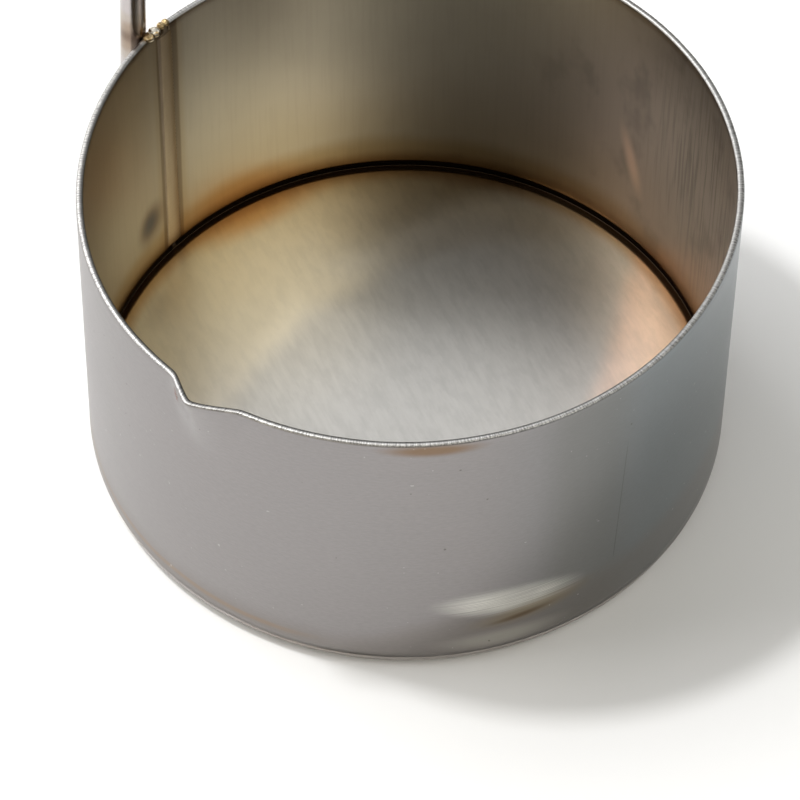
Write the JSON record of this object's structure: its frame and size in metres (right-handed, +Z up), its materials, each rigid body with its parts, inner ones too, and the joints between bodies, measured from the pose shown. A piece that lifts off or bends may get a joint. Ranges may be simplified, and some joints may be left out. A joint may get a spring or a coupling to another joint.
{
  "type": "candle melting pot",
  "caption": "Small round welded steel pot with a pressed pouring lip and an upright rod handle that ends in a hook.",
  "frame": {"origin": "centre of the underside of the base, on the surface the pot stands on", "axes": "+Z up; +Y towards the handle rod; -X towards the pouring lip"},
  "size_m": [0.1028, 0.1281, 0.1695],
  "materials": {
    "sheet": "mill finish, lightly brushed",
    "base": "mill finish with heat tint at the edge",
    "ground_weld": "ground and brushed round the edge",
    "seam": "heat tinted weld",
    "bead": "bright weld beads with brown heat tint",
    "rod": "bright drawn rod"
  },
  "bodies": {
    "root": {"pot_wall": "sheet", "base_disc": "base", "base_weld": "ground_weld", "seam_weld": "seam", "seam_end_bead": "bead", "handle_rod": "rod", "rim_weld": "bead", "foot_weld": "bead"}
  },
  "joints": []
}
